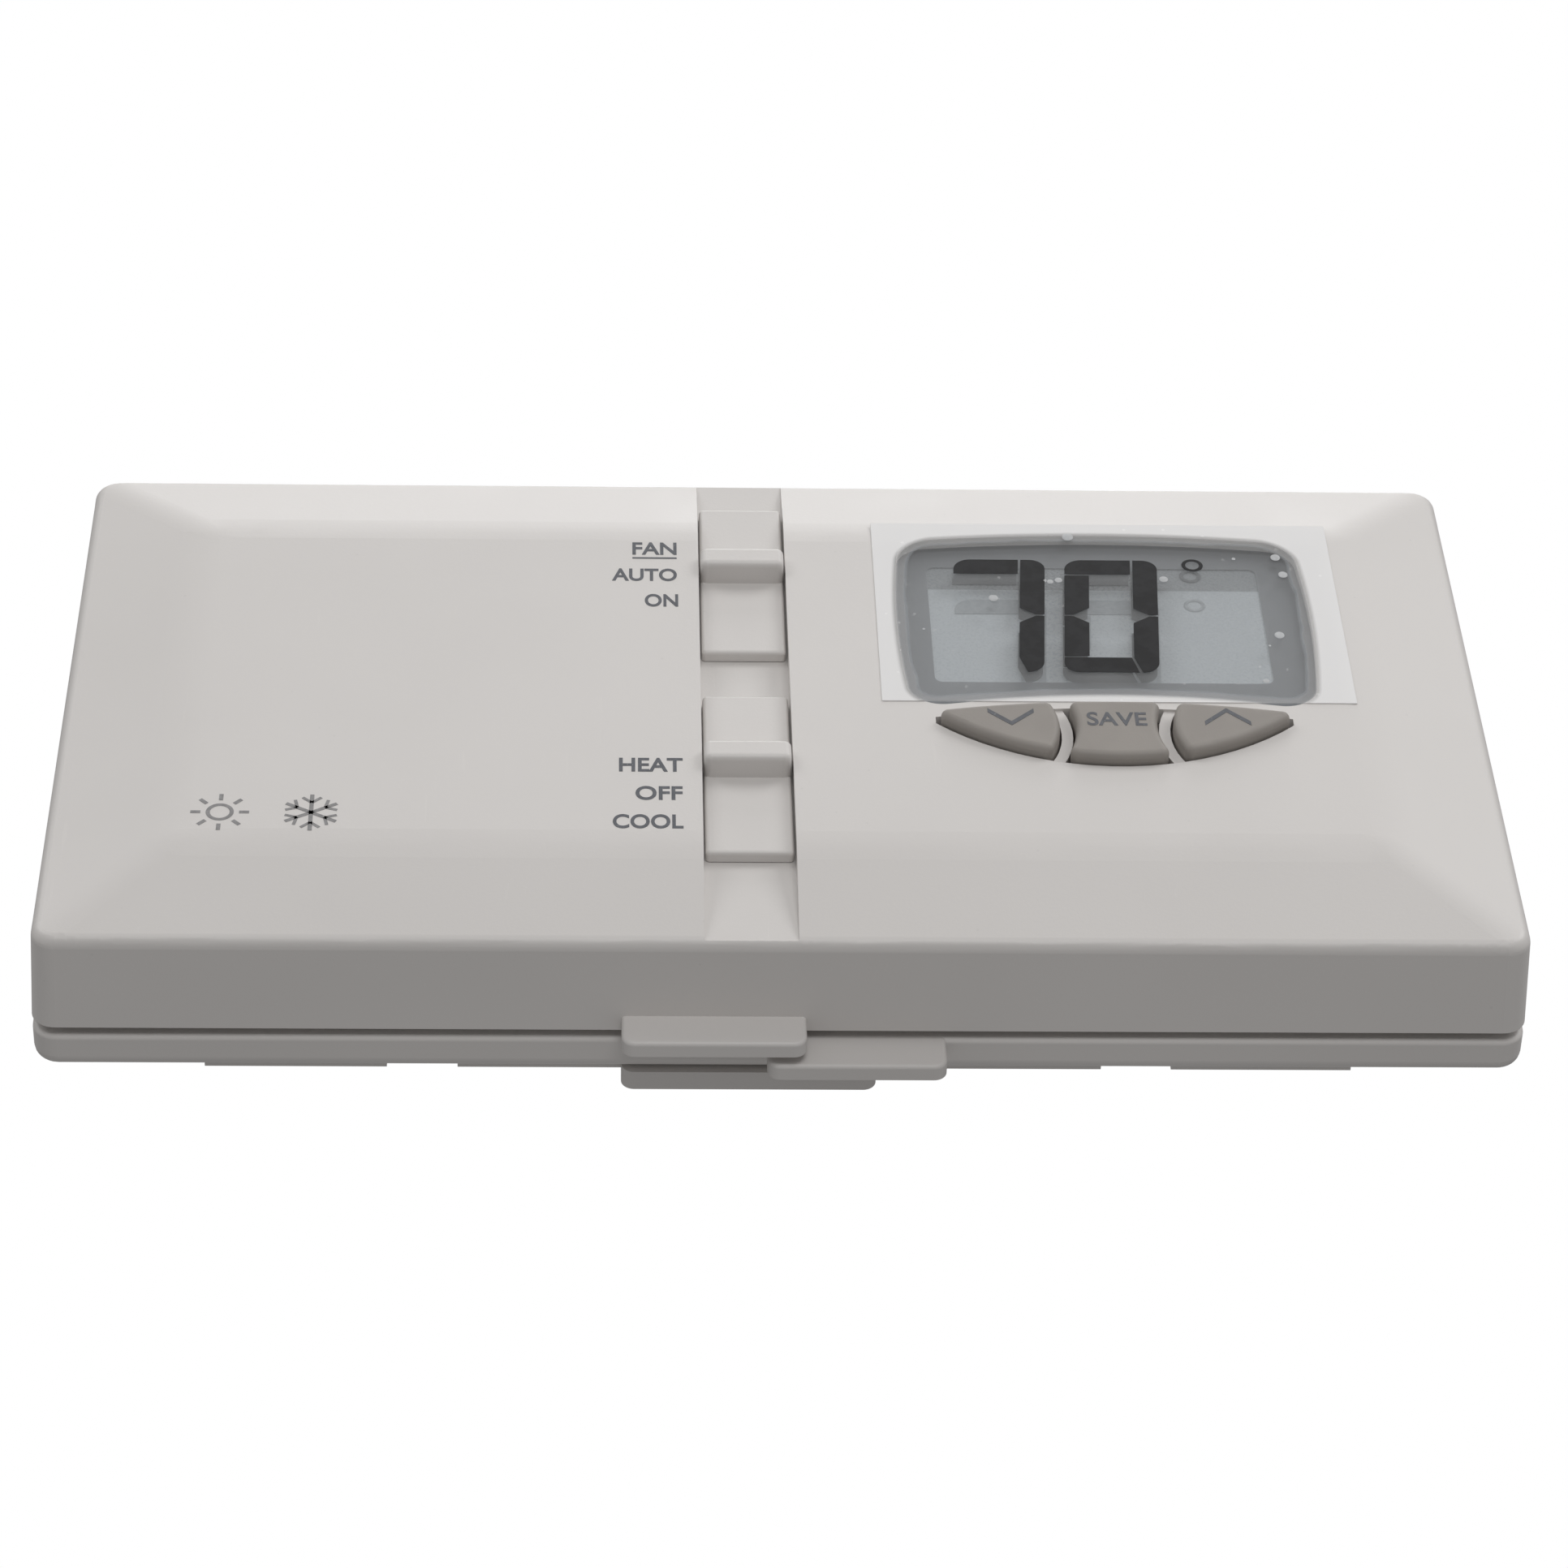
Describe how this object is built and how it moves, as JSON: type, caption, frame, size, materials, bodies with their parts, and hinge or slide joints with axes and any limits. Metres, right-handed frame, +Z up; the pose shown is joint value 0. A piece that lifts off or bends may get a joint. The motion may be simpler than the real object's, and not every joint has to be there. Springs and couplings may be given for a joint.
{
  "type": "wall thermostat",
  "caption": "Flat rectangular wall thermostat with a window display, up, down and save keys, and fan and system sliders, on a screw-fixed wall plate.",
  "frame": {"origin": "middle of the two wall screw slots, on the wall plane at the wall plate's back", "axes": "+Z up the wall, +X to the right as seen from the room, -Y out of the wall into the room"},
  "size_m": [0.147, 0.022, 0.0851],
  "materials": {
    "cover_plastic": "fine satin texture, warm white",
    "case_plastic": "fine satin texture, warm white",
    "plate_plastic": "plain moulded, warm white",
    "key_plastic": "soft satin warm grey",
    "lens_plastic": "clear moulded lens",
    "film_plastic": "thin clear film",
    "display_glass": "reflective grey liquid crystal",
    "frame_plastic": "plain moulded white",
    "board_laminate": "green solder mask",
    "black_plastic": "moulded black",
    "relay_plastic": "moulded black",
    "steel": "bright zinc plate",
    "brass": "bright",
    "tinned": "bright tin",
    "silicone": "translucent grey silicone",
    "carbon_rubber": "carbon filled",
    "cell_wrap": "printed shrink wrap",
    "capacitor_sleeve": "dark sleeve",
    "thermistor_epoxy": "dipped epoxy"
  },
  "bodies": {
    "plate": {"wall_plate": "plate_plastic", "terminal_block": "black_plastic", "terminal_clamps": "brass", "terminal_screws": "steel"},
    "case": {"rear_case": "case_plastic", "circuit_board": "board_laminate", "board_screws": "steel", "plug_strip": "black_plastic", "plug_pins": "tinned", "battery_upper": "cell_wrap", "battery_lower": "cell_wrap", "battery_plates": "tinned", "battery_springs": "steel", "relay_fan": "relay_plastic", "relay_cool": "relay_plastic", "relay_heat": "relay_plastic", "microcontroller": "black_plastic", "crystal": "tinned", "capacitors": "capacitor_sleeve", "thermistor": "thermistor_epoxy", "fan_switch": "tinned", "system_switch": "tinned", "display_panel": "display_glass", "display_frame": "frame_plastic", "display_connectors": "silicone"},
    "cover": {"front_cover": "cover_plastic", "display_lens": "lens_plastic", "protective_film": "film_plastic", "keypad_mat": "silicone"},
    "down_key": {"button_down": "key_plastic", "button_down_pill": "carbon_rubber"},
    "save_key": {"button_save": "key_plastic", "button_save_pill": "carbon_rubber"},
    "up_key": {"button_up": "key_plastic", "button_up_pill": "carbon_rubber"},
    "fan_slider": {"fan_slider": "cover_plastic"},
    "system_slider": {"system_slider": "cover_plastic"},
    "fan_lever": {"fan_switch_lever": "black_plastic"},
    "system_lever": {"system_switch_lever": "black_plastic"}
  },
  "joints": [
    {"name": "case_swing", "type": "hinge", "parent": "plate", "child": "case", "pos_m": [0, -0.0024, 0.0352], "axis": [-1, 0, 0], "range_deg": [0, 12]},
    {"name": "cover_swing", "type": "hinge", "parent": "case", "child": "cover", "pos_m": [0, -0.005, 0.0386], "axis": [-1, 0, 0], "range_deg": [0, 70]},
    {"name": "down_key_press", "type": "slide", "parent": "cover", "child": "down_key", "axis": [0, 1, 0], "range_m": [0, 0.0009], "stiffness_N_per_m": 600, "springref_m": -0.0004},
    {"name": "save_key_press", "type": "slide", "parent": "cover", "child": "save_key", "axis": [0, 1, 0], "range_m": [0, 0.0009], "stiffness_N_per_m": 600, "springref_m": -0.0004},
    {"name": "up_key_press", "type": "slide", "parent": "cover", "child": "up_key", "axis": [0, 1, 0], "range_m": [0, 0.0009], "stiffness_N_per_m": 600, "springref_m": -0.0004},
    {"name": "fan_slide", "type": "slide", "parent": "cover", "child": "fan_slider", "axis": [0, 0, -1], "range_m": [0, 0.0047]},
    {"name": "fan_lever_slide", "type": "slide", "parent": "case", "child": "fan_lever", "axis": [0, 0, -1], "range_m": [0, 0.0047]},
    {"name": "system_slide", "type": "slide", "parent": "cover", "child": "system_slider", "axis": [0, 0, -1], "range_m": [0, 0.0094]},
    {"name": "system_lever_slide", "type": "slide", "parent": "case", "child": "system_lever", "axis": [0, 0, -1], "range_m": [0, 0.0094]}
  ],
  "couplings": [
    {"joint": "fan_lever_slide", "follows": "fan_slide", "ratio": 1},
    {"joint": "system_lever_slide", "follows": "system_slide", "ratio": 1}
  ]
}
